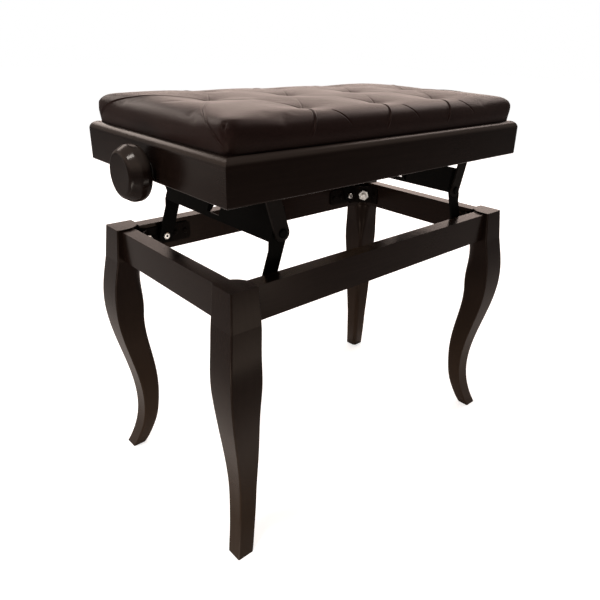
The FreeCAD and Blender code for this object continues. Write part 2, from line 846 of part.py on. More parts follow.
def aprons():
    plan = [
        (-apron_x, -apron_y),
        (apron_x, -apron_y),
        (apron_inner_x, -apron_inner_y),
        (-apron_inner_x, -apron_inner_y),
    ]
    front = apron_board("front_apron_wood", "YZ_Plane", apron_y, apron_x, plan)
    holes = [
        screw_hole(f"upper_bracket_hole_{index}", (-x, -apron_inner_y, upper_screw_z), -BACK, bracket_bite)
        for index, x in enumerate(bracket_screw_x)
    ]
    keep_pair(cut("front_apron_cut", front, both_sides(holes, RIGHT)), BACK, "apron_front", "apron_rear")
    plan = [
        (-apron_x, -apron_y),
        (-apron_inner_x, -apron_inner_y),
        (-apron_inner_x, apron_inner_y),
        (-apron_x, apron_y),
    ]
    left = apron_board("left_apron_wood", "XZ_Plane", apron_x, apron_y, plan)
    hole = rod("bush_hole", (-apron_x - d.apron_thickness, 0, spindle_z), RIGHT,
               d.bush_radius + d.running_gap, 3 * d.apron_thickness)
    keep_pair(cut("left_apron_cut", left, [hole]), RIGHT, "apron_left", "apron_right")


def seat_board():
    """Plywood inside the aprons, on a three-cornered block in each corner, screwed from below."""
    low = board_bottom - d.block_height
    corners = [(0, 0), (d.block_side, 0), (0, d.block_side)]
    wood = plate("block_wood", "XY_Plane", low, d.block_height, corners)
    place(wood, (-apron_inner_x, -apron_inner_y, 0))
    screw_x = d.block_side / 3 - apron_inner_x
    screw_y = d.block_side / 3 - apron_inner_y
    length = d.block_height + d.block_screw_bite
    hole = screw_hole("block_hole", (screw_x, screw_y, low), UP, length)
    keep_four(cut("block_cut", wood, [hole]), "corner_block")
    half_x = apron_inner_x - d.board_gap
    half_y = apron_inner_y - d.board_gap
    board = box("board_wood", (-half_x, -half_y, board_bottom), (half_x, half_y, apron_top))
    bites = screw_hole("board_hole", (screw_x, screw_y, board_bottom), UP, d.block_screw_bite)
    keep(cut("board_cut", board, four(bites, "board_hole")), "seat_board")
    fixing = screw("block_screw", (screw_x, screw_y, low), -UP, length)
    keep(group("block_screw_group", four(fixing, "block_screw")), "seat_board_screws")


# The cushion's half sizes at its widest, and how far its crown takes to rise
cushion_x = apron_x - d.cushion_inset
cushion_y = apron_y - d.cushion_inset
crown_reach = cushion_y - d.cushion_shoulder - d.crown_flat / 2
tuft_column = (cushion_x - d.tuft_end_margin) * 2 / 3
tuft_row = cushion_y - d.tuft_row_margin


def cushion_stations():
    """Height above the seat and inset of the outline: drawn-in side, rounded shoulder, then the crown."""
    side = d.cushion_side - d.cushion_shoulder
    for share in (0, 1 / 3, 2 / 3):
        yield side * share, d.cushion_draw_in * (1 - math.sin(math.pi * share / 2))
    for step in range(5):
        turn = math.pi / 2 * step / 5
        rise = d.cushion_shoulder * math.sin(turn)
        yield side + rise, d.cushion_shoulder * (1 - math.cos(turn))
    for step in range(5):
        share = step / 4
        rise = d.cushion_crown * share * (2 - share)
        yield d.cushion_side + rise, d.cushion_shoulder + crown_reach * share


def cushion():
    body = new_body("cushion_pad")
    base = apron_top + d.cushion_gap
    sections = []
    for index, (height, inset) in enumerate(cushion_stations()):
        half_x = cushion_x - inset
        half_y = cushion_y - inset
        corners = ((-half_x, -half_y), (half_x, -half_y), (half_x, half_y), (-half_x, half_y))
        outline = [(x, y, d.cushion_corner) for x, y in corners]
        sections.append(sketch(body, f"cushion_section_{index}", "XY_Plane", base + height, outline))
    loft(body, sections, ruled=True)
    top = base + d.cushion_side + d.cushion_crown
    dimples = []
    for row, count in ((-1, 3), (0, 4), (1, 3)):
        for column in range(count):
            dimple = doc.addObject("Part::Cone", f"tuft_{row + 1}_{column}")
            bind(dimple, Radius1=d.tuft_pinch, Radius2=d.tuft_radius + d.tuft_pinch, Height=d.tuft_depth)
            x = tuft_column * (column - (count - 1) / 2)
            dimples.append(place(dimple, (x, tuft_row * row, top - d.tuft_depth)))
    keep(cut("cushion_cut", body, dimples), "cushion")


def write_parts():
    doc.recompute()
    for thing in doc.Objects:
        if "Invalid" in thing.State or "Error" in thing.State:
            raise RuntimeError(f"{thing.Name} failed: {thing.State}")
    for thing in nodes:
        if thing.Shape.isNull() or not thing.Shape.isValid():
            raise RuntimeError(f"{thing.Label} has no valid shape")
    os.makedirs("parts", exist_ok=True)
    for thing in nodes:
        thing.Shape.exportStep(f"parts/{thing.Label}.step")
        solids = thing.Shape.Solids
        print(f"{thing.Label}: {len(solids)} solids, {thing.Shape.Volume / 1000:.1f} cm3")


legs()
rails()
braces()
leg_bolts()
lower_pivots()
upper_pivots()
arms()
knuckle_pins()
links()
spindle_nuts()
spindle()
aprons()
seat_board()
cushion()
write_parts()
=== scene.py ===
import json
import math

import bmesh
import bpy
import numpy as np
from mathutils import Matrix, Vector


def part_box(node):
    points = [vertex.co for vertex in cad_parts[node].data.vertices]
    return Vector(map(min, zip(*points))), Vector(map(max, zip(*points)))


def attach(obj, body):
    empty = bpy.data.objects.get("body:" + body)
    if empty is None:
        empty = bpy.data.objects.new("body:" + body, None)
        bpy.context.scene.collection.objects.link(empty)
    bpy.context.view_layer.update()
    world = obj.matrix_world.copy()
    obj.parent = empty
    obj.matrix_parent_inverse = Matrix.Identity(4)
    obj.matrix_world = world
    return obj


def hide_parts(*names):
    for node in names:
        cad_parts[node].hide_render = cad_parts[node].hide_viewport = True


# Adjustable piano bench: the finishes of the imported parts, the tufted cushion, the threaded spindle,
# and the plain studio in which the bench is shown. Metres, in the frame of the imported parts.

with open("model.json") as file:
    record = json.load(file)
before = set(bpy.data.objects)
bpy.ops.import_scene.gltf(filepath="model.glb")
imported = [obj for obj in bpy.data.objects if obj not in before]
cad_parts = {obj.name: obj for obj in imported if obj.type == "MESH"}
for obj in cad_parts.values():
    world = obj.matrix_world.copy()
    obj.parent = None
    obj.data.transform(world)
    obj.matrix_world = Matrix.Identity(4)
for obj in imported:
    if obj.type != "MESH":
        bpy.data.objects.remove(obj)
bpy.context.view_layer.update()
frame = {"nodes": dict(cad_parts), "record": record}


# Shader maths


class Value:
    """One output in a finish's node tree. Arithmetic on it adds Math nodes."""

    def __init__(self, finish, socket):
        self.finish = finish
        self.socket = socket

    def math(self, operation, first, second):
        return self.finish.add("ShaderNodeMath", {"operation": operation}, {0: first, 1: second})

    def __add__(self, other):
        return self.math("ADD", self, other)

    def __radd__(self, other):
        return self.math("ADD", other, self)

    def __sub__(self, other):
        return self.math("SUBTRACT", self, other)

    def __rsub__(self, other):
        return self.math("SUBTRACT", other, self)

    def __mul__(self, other):
        return self.math("MULTIPLY", self, other)

    def __rmul__(self, other):
        return self.math("MULTIPLY", other, self)


class Finish:
    """A material or world in the making: its shader, and one way of adding the nodes that feed it."""

    def __init__(self, owner, shader="Principled BSDF"):
        owner.use_nodes = True
        self.owner = owner
        self.tree = owner.node_tree
        self.shader = self.tree.nodes[shader]

    def add(self, kind, settings=None, sockets=None, output=0):
        """Adds a node: its settings first, then its sockets, each a number, a colour or a link."""
        node = self.tree.nodes.new(kind)
        for name, setting in (settings or {}).items():
            if name == "stops":
                self.stop_ramp(node.color_ramp.elements, setting)
            else:
                setattr(node, name, setting)
        self.feed(node, sockets or {})
        return Value(self, node.outputs[output])

    def stop_ramp(self, elements, stops):
        while len(elements) < len(stops):
            elements.new(1.0)
        for element, (place, level) in zip(elements, stops):
            element.position = place
            element.color = (level, level, level, 1)

    def feed(self, node, sockets):
        for name, given in sockets.items():
            if isinstance(given, Value):
                self.tree.links.new(given.socket, node.inputs[name])
            else:
                node.inputs[name].default_value = given

    def set(self, sockets):
        self.feed(self.shader, sockets)
        return self.owner

    def place(self, scale):
        """The point on the piece, in metres, stretched by a scale for each axis."""
        point = self.add("ShaderNodeTexCoord", output="Object")
        return self.add("ShaderNodeMapping", None, {"Vector": point, "Scale": scale})

    def noise(self, where, scale, detail=3.0, roughness=0.5):
        sockets = {"Vector": where, "Scale": scale, "Detail": detail, "Roughness": roughness}
        return self.add("ShaderNodeTexNoise", None, sockets)

    def ramp(self, value, stops):
        return self.add("ShaderNodeValToRGB", {"stops": stops}, {"Fac": value})

    def blend(self, share, first, second):
        """A colour between two, by a share."""
        sockets = {"Factor": share, "A": as_colour(first), "B": as_colour(second)}
        return self.add("ShaderNodeMix", {"data_type": "RGBA"}, numbered_mix(sockets), output=2)

    def facing_up(self):
        """The upward share of the surface's direction on the resting piece."""
        direction = self.add("ShaderNodeTexCoord", output="Normal")
        return self.add("ShaderNodeSeparateXYZ", None, {0: direction}, output=2)

    def painted_floor_light_share(self):
        """Share of painted light from the floor: 1 at the feet, fading to 0 at the height of the knees."""
        point = self.add("ShaderNodeTexCoord", output="Object")
        height = self.add("ShaderNodeSeparateXYZ", None, {0: point}, output=2)
        return self.ramp(height, [(0.08, 1.0), (0.29, 0.0)])

    def bump(self, height, strength, depth):
        return self.add("ShaderNodeBump", None, {"Height": height, "Strength": strength, "Distance": depth})


def new_finish(name):
    return Finish(bpy.data.materials.new(name))


def as_colour(given):
    if isinstance(given, Value):
        return given
    return (*given, 1.0)


def numbered_mix(sockets):
    """A colour Mix node's sockets by their numbers, because its names repeat for each data type."""
    return {0: sockets["Factor"], 6: sockets["A"], 7: sockets["B"]}


# Finishes

ALONG_X = (1.0, 14.0, 14.0)
ALONG_Y = (14.0, 1.0, 14.0)
ALONG_Z = (14.0, 14.0, 1.0)
WARM_GLOSS = (1.0, 0.82, 0.72, 1.0)


def lacquered_wood(name, grain, gloss_index=1.15, clear_coat=0.0):
    """Nearly black brown stain under lacquer, with painted light from the floor making it browner near the
    feet, and a painted highlight making upward-sloping faces paler.
    """
    finish = new_finish(name)
    along = finish.place(grain)
    streaks = finish.noise(along, 14.0, 4.0, 0.6)
    pores = finish.noise(along, 90.0, 2.0, 0.6)
    plain = finish.place((1.0, 1.0, 1.0))
    patches = finish.noise(plain, 9.0, 2.0)
    rubbed = finish.noise(plain, 160.0, 3.0, 0.7)
    grain_share = finish.ramp(streaks, [(0.32, 0.0), (0.7, 1.0)])
    stain = finish.blend(grain_share, (0.0080, 0.0047, 0.0038), (0.0104, 0.0062, 0.0050))
    # Painted light from the floor: the stain turns a lighter, warmer brown towards the feet.
    lower = finish.blend(finish.painted_floor_light_share(), stain, (0.0300, 0.0195, 0.0135))
    # Painted highlight: faces that slope upwards, though not flat tops, are drawn paler, in noisy patches.
    slope = finish.facing_up() + 0.15 * patches
    painted_slope_highlight = finish.ramp(slope, [(0.25, 0.0), (0.50, 1.0), (0.95, 1.0), (1.0, 0.0)])
    colour = finish.blend(painted_slope_highlight * 0.8, lower, (0.0480, 0.0370, 0.0320))
    gloss = 0.15 + 0.10 * patches + 0.05 * rubbed
    height = pores * 0.6 + rubbed * 0.25
    return finish.set({
        "Base Color": colour,
        "Roughness": gloss,
        "IOR": gloss_index,
        "Specular Tint": WARM_GLOSS,
        "Coat Weight": clear_coat,
        "Coat Roughness": 0.16,
        "Normal": finish.bump(height, 0.06, 0.0006),
    })


def bare_wood(name, grain, pale, dark):
    """Planed wood without lacquer."""
    finish = new_finish(name)
    along = finish.place(grain)
    streaks = finish.noise(along, 22.0, 5.0, 0.65)
    pores = finish.noise(along, 140.0, 2.0, 0.6)
    share = finish.ramp(streaks, [(0.3, 0.0), (0.72, 1.0)])
    colour = finish.blend(share, pale, dark)
    return finish.set({
        "Base Color": colour,
        "Roughness": 0.62 + 0.2 * pores,
        "Normal": finish.bump(pores, 0.25, 0.0006),
    })


def plywood():
    """Veneer with grain along the bench, and thin darker plies at its edges."""
    finish = new_finish("plywood")
    along = finish.place(ALONG_X)
    streaks = finish.noise(along, 18.0, 5.0, 0.65)
    sheets = finish.add("ShaderNodeTexWave", {"bands_direction": "Z"}, {
        "Vector": finish.place((1.0, 1.0, 1.0)), "Scale": 130.0, "Distortion": 0.4, "Detail": 1.0})
    share = finish.ramp(streaks * 0.65 + sheets * 0.35, [(0.25, 0.0), (0.75, 1.0)])
    colour = finish.blend(share, (0.56, 0.40, 0.25), (0.38, 0.25, 0.14))
    return finish.set({
        "Base Color": colour,
        "Roughness": 0.6 + 0.2 * streaks,
        "Normal": finish.bump(streaks, 0.2, 0.0008),
    })


def leatherette():
    """Dark brown coated cloth: a soft sheen over a pebbled grain, darker and rougher between the pebbles."""
    finish = new_finish("leatherette")
    plain = finish.place((1.0, 1.0, 1.0))
    pebbles = finish.add("ShaderNodeTexVoronoi", {"feature": "DISTANCE_TO_EDGE"}, {
        "Vector": plain, "Scale": 720.0, "Randomness": 0.9})
    grain = finish.ramp(pebbles, [(0.02, 0.0), (0.28, 1.0)])
    wrinkles = finish.noise(finish.place((1.0, 1.6, 1.0)), 130.0, 4.0, 0.6)
    cloud = finish.noise(plain, 11.0, 3.0, 0.55)
    shade = finish.ramp(cloud, [(0.3, 0.0), (0.72, 1.0)])
    tone = finish.blend(shade, (0.0190, 0.0096, 0.0088), (0.0260, 0.0136, 0.0124))
    colour = finish.blend(1 - grain, tone, (0.0140, 0.0076, 0.0068))
    height = grain * 0.5 + wrinkles * 0.8
    return finish.set({
        "Base Color": colour,
        "Roughness": 0.29 + 0.10 * cloud + 0.05 * (1 - grain),
        "IOR": 1.13,
        "Specular Tint": WARM_GLOSS,
        "Normal": finish.bump(height, 0.18, 0.0008),
    })


def painted_steel(name, dark, dusty):
    """Paint on sheet steel, slightly orange-peeled and dusty."""
    finish = new_finish(name)
    plain = finish.place((1.0, 1.0, 1.0))
    peel = finish.noise(plain, 420.0, 2.0, 0.5)
    dust = finish.noise(plain, 26.0, 4.0, 0.6)
    colour = finish.blend(dust, dark, dusty)
    return finish.set({
        "Base Color": colour,
        "Roughness": 0.34 + 0.18 * dust,
        "IOR": 1.09,
        "Normal": finish.bump(peel, 0.12, 0.0005),
    })


def bright_steel(name, colour, shade, fine):
    """Plated or turned steel: fine turning marks and a dulled film in patches."""
    finish = new_finish(name)
    plain = finish.place((1.0, 1.0, 1.0))
    marks = finish.noise(finish.place(fine), 700.0, 2.0, 0.6)
    film = finish.noise(plain, 60.0, 4.0, 0.6)
    tone = finish.blend(finish.ramp(film, [(0.35, 0.0), (0.75, 1.0)]), colour, shade)
    return finish.set({
        "Base Color": tone,
        "Metallic": 1.0,
        "Roughness": 0.24 + 0.16 * film + 0.06 * marks,
        "Normal": finish.bump(marks, 0.08, 0.0003),
    })


def black_nylon():
    finish = new_finish("bush_plastic")
    plain = finish.place((1.0, 1.0, 1.0))
    texture = finish.noise(plain, 600.0, 3.0, 0.6)
    patches = finish.noise(plain, 40.0, 2.0)
    colour = finish.blend(patches, (0.012, 0.012, 0.012), (0.022, 0.021, 0.020))
    return finish.set({
        "Base Color": colour,
        "Roughness": 0.45 + 0.15 * texture,
        "Normal": finish.bump(texture, 0.15, 0.0004),
    })


def finish_parts():
    """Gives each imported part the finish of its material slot, wood with its grain along the piece."""
    wood_x = lacquered_wood("lacquered_wood_along", ALONG_X)
    wood_y = lacquered_wood("lacquered_wood_across", ALONG_Y)
    wood_z = lacquered_wood("lacquered_wood_upright", ALONG_Z)
    knob_wood = lacquered_wood("glossy_lacquered_wood", ALONG_Z, 1.04, 0.2)
    steel = painted_steel("black_steel", (0.0010, 0.0009, 0.0008), (0.0028, 0.0025, 0.0022))
    # A paler copy of the black steel, with painted light: the links are drawn as if lit.
    lit_link_steel = painted_steel("painted_lit_black_steel", (0.0085, 0.0070, 0.0064), (0.0170, 0.0142, 0.0132))
    plate_steel = painted_steel("brown_black_steel", (0.0030, 0.0020, 0.0017), (0.0052, 0.0036, 0.0030))
    zinc = bright_steel("zinc_steel", (0.80, 0.80, 0.78), (0.58, 0.58, 0.57), (1.0, 1.0, 1.0))
    slots = {
        "block_wood": bare_wood("block_wood", ALONG_Z, (0.52, 0.36, 0.21), (0.36, 0.22, 0.11)),
        "plywood": plywood(),
        "black_steel": steel,
        "zinc_steel": zinc,
        "spindle_steel": turned_steel,
        "bush_plastic": black_nylon(),
        "lacquered_wood": wood_x,
    }
    slot_of = {part["node"]: part["material_slot"] for part in frame["record"]["subparts"]}
    for name, piece in frame["nodes"].items():
        material = slots.get(slot_of[name], leather)
        if name.startswith("leg_") and material is wood_x:
            material = wood_z
        if name in ("left_rail", "right_rail", "apron_left", "apron_right"):
            material = wood_y
        if name.startswith("knob_"):
            material = knob_wood
        # The links take the paler copy of the black steel, painted as lit.
        if name.startswith("link_"):
            material = lit_link_steel
        if name.startswith(("lower_bracket_", "brace_")):
            material = plate_steel
        for slot in piece.material_slots:
            slot.material = material


leather = leatherette()
turned_steel = bright_steel("spindle_steel", (0.42, 0.42, 0.43), (0.27, 0.27, 0.28), (14.0, 1.0, 1.0))
finish_parts()


# Cushion: the foam's form, blown up a little like cloth held at its tufts, then the folds of the cover

cushion_low, cushion_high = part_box("cushion")
HALF_X = (cushion_high.x - cushion_low.x) / 2
HALF_Y = (cushion_high.y - cushion_low.y) / 2
BASE = cushion_low.z
SHOULDER = 0.014
SHOULDER_REACH = 0.018
SIDE = 0.0365
CROWN = 0.0045
CORNER = 0.012
DRAW_IN = 0.0022
CROWN_FLAT = 0.030
EDGE = BASE + SIDE
TUFT_X = 0.1277
TUFT_Y = 0.107
FRONT_TUFTS = [-TUFT_X, 0.0, TUFT_X]
MIDDLE_TUFTS = [-1.5 * TUFT_X, -0.5 * TUFT_X, 0.5 * TUFT_X, 1.5 * TUFT_X]
TUFTS = [(x, row * TUFT_Y) for row in (-1, 1) for x in FRONT_TUFTS] + [(x, 0.0) for x in MIDDLE_TUFTS]
TUFT_DEPTH = 0.0062
TUFT_REACH = 0.017
TUFT_GRIP = 0.006
TOP_BAND = 0.006
BASE_BAND = 0.004
SWELL_LIMIT = 0.004
VOXEL = 0.004
SKIRT = 0.010


def rounded_ring(half_x, half_y, radius, height, steps=8):
    """Points round a rectangle with rounded corners."""
    points = []
    for corner, (side_x, side_y) in enumerate(((1, 1), (-1, 1), (-1, -1), (1, -1))):
        for step in range(steps + 1):
            turn = math.pi / 2 * (corner + step / steps)
            x = side_x * (half_x - radius) + radius * math.cos(turn)
            y = side_y * (half_y - radius) + radius * math.sin(turn)
            points.append((x, y, height))
    return points


def cushion_profile():
    """Height above the base and inset of the outline, up the skirt, drawn-in side, shoulder and crown."""
    side_steps, shoulder_steps, crown_steps = 4, 6, 6
    straight = SIDE - SHOULDER
    yield -SKIRT, DRAW_IN
    for step in range(side_steps):
        share = step / side_steps
        yield straight * share, DRAW_IN * (1 - math.sin(math.pi * share / 2))
    for step in range(shoulder_steps):
        turn = math.pi / 2 * step / shoulder_steps
        yield straight + SHOULDER * math.sin(turn), SHOULDER_REACH * (1 - math.cos(turn))
    reach = HALF_Y - SHOULDER_REACH - CROWN_FLAT
    for step in range(crown_steps + 1):
        share = step / crown_steps
        yield SIDE + CROWN * share * (2 - share), SHOULDER_REACH + reach * share


def skin(name, rings):
    """A closed mesh over rings of points, one above another."""
    work = bmesh.new()
    rows = [[work.verts.new(point) for point in ring] for ring in rings]
    count = len(rows[0])
    for lower, upper in zip(rows, rows[1:]):
        for index in range(count):
            after = (index + 1) % count
            work.faces.new((lower[index], lower[after], upper[after], upper[index]))
    work.faces.new(list(reversed(rows[0])))
    work.faces.new(rows[-1])
    mesh = bpy.data.meshes.new(name)
    work.to_mesh(mesh)
    work.free()
    return mesh


def shown(name, mesh, material):
    piece = bpy.data.objects.new(name, mesh)
    bpy.context.scene.collection.objects.link(piece)
    mesh.materials.clear()
    mesh.materials.append(material)
    return piece


def applied(piece):
    """The piece's mesh with its modifiers worked in."""
    bpy.context.view_layer.update()
    return bpy.data.meshes.new_from_object(piece.evaluated_get(bpy.context.evaluated_depsgraph_get()))


def swap_mesh(piece, mesh):
    piece.modifiers.clear()
    old = piece.data
    piece.data = mesh
    bpy.data.meshes.remove(old)


def read_vectors(mesh, kind):
    values = np.zeros(len(mesh.vertices) * 3)
    mesh.vertices.foreach_get(kind, values)
    return values.reshape(-1, 3)


def put_points(mesh, points):
    mesh.vertices.foreach_set("co", points.ravel())
    mesh.update()


def cushion_blank():
    """The pad before it swells, meshed evenly."""
    rings = [rounded_ring(HALF_X - inset, HALF_Y - inset, CORNER, BASE + height)
             for height, inset in cushion_profile()]
    piece = shown("cushion_cover", skin("cushion_cover", rings), leather)
    even = piece.modifiers.new("even", "REMESH")
    even.mode = "VOXEL"
    even.voxel_size = VOXEL
    swap_mesh(piece, applied(piece))
    return piece


def soften_shoulders(piece):
    """Rounds the top edges more along the sides than at the corners."""
    corner_size, corner_fade = 0.02, 0.06
    edge_size, edge_fade = 0.045, 0.02
    base_fade = 0.010
    points = read_vectors(piece.data, "co")
    inside_x = HALF_X - np.abs(points[:, 0])
    inside_y = HALF_Y - np.abs(points[:, 1])
    off_corner = np.clip((np.maximum(inside_x, inside_y) - corner_size) / corner_fade, 0, 1)
    by_edge = np.clip((edge_size - np.minimum(inside_x, inside_y)) / edge_fade, 0, 1)
    above = np.clip((points[:, 2] - BASE - BASE_BAND) / base_fade, 0, 1)
    soft = piece.vertex_groups.new(name="soft")
    for index, weight in enumerate(off_corner * by_edge * above):
        soft.add([index], float(weight), "REPLACE")
    smooth = piece.modifiers.new("softer", "SMOOTH")
    smooth.factor = 0.5
    smooth.iterations = 50
    smooth.vertex_group = "soft"
    swap_mesh(piece, applied(piece))


def pull_tufts(piece):
    """Draws the top down round each tuft, as a funnel."""
    points = read_vectors(piece.data, "co")
    on_top = np.clip((points[:, 2] - EDGE + TOP_BAND) / TOP_BAND, 0, 1)
    for x, y in TUFTS:
        far = np.hypot(points[:, 0] - x, points[:, 1] - y)
        points[:, 2] -= on_top * TUFT_DEPTH * np.exp(-((far / TUFT_REACH) ** 1.2))
    put_points(piece.data, points)


def swell(piece):
    """Blows the cover up like cloth over foam, held at its base and at each tuft."""
    start = read_vectors(piece.data, "co")
    held = start[:, 2] < BASE + BASE_BAND
    for x, y in TUFTS:
        held |= (np.hypot(start[:, 0] - x, start[:, 1] - y) < TUFT_GRIP) & (start[:, 2] > EDGE - TOP_BAND)
    pins = piece.vertex_groups.new(name="held")
    pins.add([int(index) for index in np.nonzero(held)[0]], 1.0, "REPLACE")
    cloth = piece.modifiers.new("cloth", "CLOTH")
    cloth.settings.vertex_group_mass = "held"
    cloth.settings.quality = 6
    cloth.settings.mass = 0.3
    cloth.settings.tension_stiffness = 40
    cloth.settings.compression_stiffness = 40
    cloth.settings.shear_stiffness = 20
    cloth.settings.bending_stiffness = 4
    cloth.settings.use_pressure = True
    cloth.settings.uniform_pressure_force = 3
    cloth.settings.effector_weights.gravity = 0
    scene = bpy.context.scene
    for moment in range(1, 21):
        scene.frame_set(moment)
    swap_mesh(piece, applied(piece))
    scene.frame_set(1)
    moved = read_vectors(piece.data, "co") - start
    length = np.linalg.norm(moved, axis=1, keepdims=True)
    put_points(piece.data, start + moved * np.minimum(1, SWELL_LIMIT / np.maximum(length, 1e-9)))


def finer(piece):
    """Splits each face in four and smooths the result."""
    smooth = piece.modifiers.new("finer", "SUBSURF")
    smooth.levels = 1
    smooth.render_levels = 1
    swap_mesh(piece, applied(piece))


def bend(start, middle, end, steps=10):
    """Points along a curve from start to end, drawn towards the middle."""
    shares = np.linspace(0, 1, steps + 1)[:, None]
    near, between, far = (1 - shares) ** 2, 2 * shares * (1 - shares), shares ** 2
    return near * np.array(start) + between * np.array(middle) + far * np.array(end)


def laid_flat(points, axis):
    """Plan coordinates with the sides folded out along one axis, so that a fold can run over the edge."""
    flat = points[:, :2].copy()
    flat[:, axis] += np.sign(flat[:, axis]) * np.clip(EDGE - points[:, 2], 0, None)
    return flat


def beside(flat, path):
    """Signed distance of each point from a path, and the share of the path's length where it is nearest."""
    steps = np.diff(path, axis=0)
    lengths = np.linalg.norm(steps, axis=1)
    starts = np.concatenate(([0], np.cumsum(lengths)))
    nearest = np.full(len(flat), np.inf)
    offset = np.zeros(len(flat))
    share = np.zeros(len(flat))
    for base, step, length, begun in zip(path, steps, lengths, starts):
        away = flat - base
        run = np.clip(away @ step / length ** 2, 0, 1)
        gap = away - run[:, None] * step
        far = np.hypot(gap[:, 0], gap[:, 1])
        closer = far < nearest
        side = np.sign(step[0] * away[:, 1] - step[1] * away[:, 0])
        nearest = np.where(closer, far, nearest)
        offset = np.where(closer, side * far, offset)
        share = np.where(closer, (begun + run * length) / starts[-1], share)
    return offset, share


class Fold:
    """A crease in the cover: its path laid flat, the axis it folds out along, its size and fading ends."""

    def __init__(self, path, axis, depth, width, lip=0.0, ends=(0.15, 0.25)):
        self.path = path
        self.axis = axis
        self.depth = depth
        self.width = width
        self.lip = lip
        self.ends = ends

    def lift(self, points):
        """How far the fold raises each point: a groove with a lip beside it that grows along the path."""
        offset, share = beside(laid_flat(points, self.axis), self.path)
        fade = np.clip(share / self.ends[0], 0, 1) * np.clip((1 - share) / self.ends[1], 0, 1)
        groove = np.exp(-((offset / self.width) ** 2))
        lip_place = 1.9 * self.width
        lip_width = 1.1 * self.width
        lip = np.exp(-(((offset - lip_place) / lip_width) ** 2))
        return fade * (self.lip * share * lip - self.depth * (1 - 0.5 * share) * groove)


# Sizes of the folds, and the plan axis along which the sides are folded out under each

VALLEY = {"axis": 1, "depth": 0.0004, "width": 0.0060, "ends": (0.05, 0.05)}
TUFT_CREASE = {"axis": 1, "depth": 0.0011, "width": 0.0011, "lip": 0.0004, "ends": (0.02, 0.8)}
LONG_PLEAT = {"axis": 1, "depth": 0.0013, "width": 0.0009, "lip": 0.0026}
SHORT_PLEAT = {"axis": 1, "depth": 0.0012, "width": 0.0010}
CORNER_CREASE = {"axis": 0, "depth": 0.0009, "width": 0.0009, "lip": 0.0020, "ends": (0.02, 0.08)}
CORNER_PINCH = {"axis": 0, "depth": 0.0034, "width": 0.0026, "ends": (0.35, 0.6)}


def diagonals():
    """The tufts of the outer rows paired with their neighbours in the middle row."""
    for row in (-1, 1):
        for x in FRONT_TUFTS:
            for side in (-1, 1):
                yield np.array((x, row * TUFT_Y)), np.array((x + side * TUFT_X / 2, 0.0))


def soft_folds():
    """Shallow valleys along the diagonals between tufts."""
    return [Fold(np.array(pair), **VALLEY) for pair in diagonals()]


def crisp_folds():
    """Creases that leave each tuft along its diagonals, run over the edges and down to each corner."""
    folds = []
    for start, end in diagonals():
        for tuft, other in ((start, end), (end, start)):
            halfway = np.array((tuft, tuft + 0.5 * (other - tuft)))
            folds.append(Fold(halfway, **TUFT_CREASE))
    for row in (-1, 1):
        for x in FRONT_TUFTS:
            long_fold = bend((x - 0.008, row * 0.118), (x - 0.018, row * 0.145), (x - 0.033, row * 0.184))
            short_fold = bend((x + 0.014, row * 0.138), (x + 0.022, row * 0.155), (x + 0.034, row * 0.177))
            folds.append(Fold(long_fold, **LONG_PLEAT))
            folds.append(Fold(short_fold, **SHORT_PLEAT))
        for side in (-1, 1):
            tuft = (side * 0.1915, row * 0.004)
            shoulder = (side * 0.264, row * 0.096)
            foot = (side * 0.300, row * 0.146)
            folds.append(Fold(bend(tuft, shoulder, foot, 16), **CORNER_CREASE))
            pinch = np.array(((side * 0.268, row * 0.1445), (side * 0.292, row * 0.1505)))
            folds.append(Fold(pinch, **CORNER_PINCH))
    return folds


def split_near(piece, folds, reach):
    """Halves the mesh's edges along the crisp folds, out to a reach."""
    points = read_vectors(piece.data, "co")
    near = np.zeros(len(points), bool)
    for fold in folds:
        offset, share = beside(laid_flat(points, fold.axis), fold.path)
        near |= np.abs(offset) < reach
    work = bmesh.new()
    work.from_mesh(piece.data)
    work.verts.ensure_lookup_table()
    edges = [edge for edge in work.edges if all(near[vert.index] for vert in edge.verts)]
    bmesh.ops.subdivide_edges(work, edges=edges, cuts=1, use_grid_fill=True, smooth=0.0)
    work.to_mesh(piece.data)
    work.free()


def trim_base(piece):
    """Cuts the skirt off level with the base and closes the underside, with a sharp edge round it."""
    work = bmesh.new()
    work.from_mesh(piece.data)
    everything = work.verts[:] + work.edges[:] + work.faces[:]
    level = {"plane_co": (0, 0, BASE), "plane_no": (0, 0, 1)}
    cut = bmesh.ops.bisect_plane(work, geom=everything, clear_inner=True, **level)
    rim = [part for part in cut["geom_cut"] if isinstance(part, bmesh.types.BMEdge)]
    for face in work.faces:
        face.smooth = True
    for edge in rim:
        edge.smooth = False
    bmesh.ops.edgeloop_fill(work, edges=rim)
    work.to_mesh(piece.data)
    work.free()


def press_folds(piece, folds):
    """Moves the cover in or out by the folds, fading towards the base."""
    points = read_vectors(piece.data, "co")
    normals = read_vectors(piece.data, "normal")
    base_fade = 0.006
    above = np.clip((points[:, 2] - BASE) / base_fade, 0, 1)
    lift = sum(fold.lift(points) for fold in folds)
    put_points(piece.data, points + normals * (lift * above)[:, None])


def make_cushion():
    piece = cushion_blank()
    soften_shoulders(piece)
    pull_tufts(piece)
    swell(piece)
    finer(piece)
    crisp = crisp_folds()
    for reach in (0.006, 0.003):
        split_near(piece, crisp, reach)
    press_folds(piece, soft_folds() + crisp)
    trim_base(piece)
    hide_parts("cushion")
    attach(piece, "seat")


make_cushion()


# Spindle: a screw with opposite hands on its two halves, plain in the middle and at its ends

LEAD = 0.005
THREAD_DEPTH = 0.0011
THREAD_START = 0.045
THREAD_END = 0.185


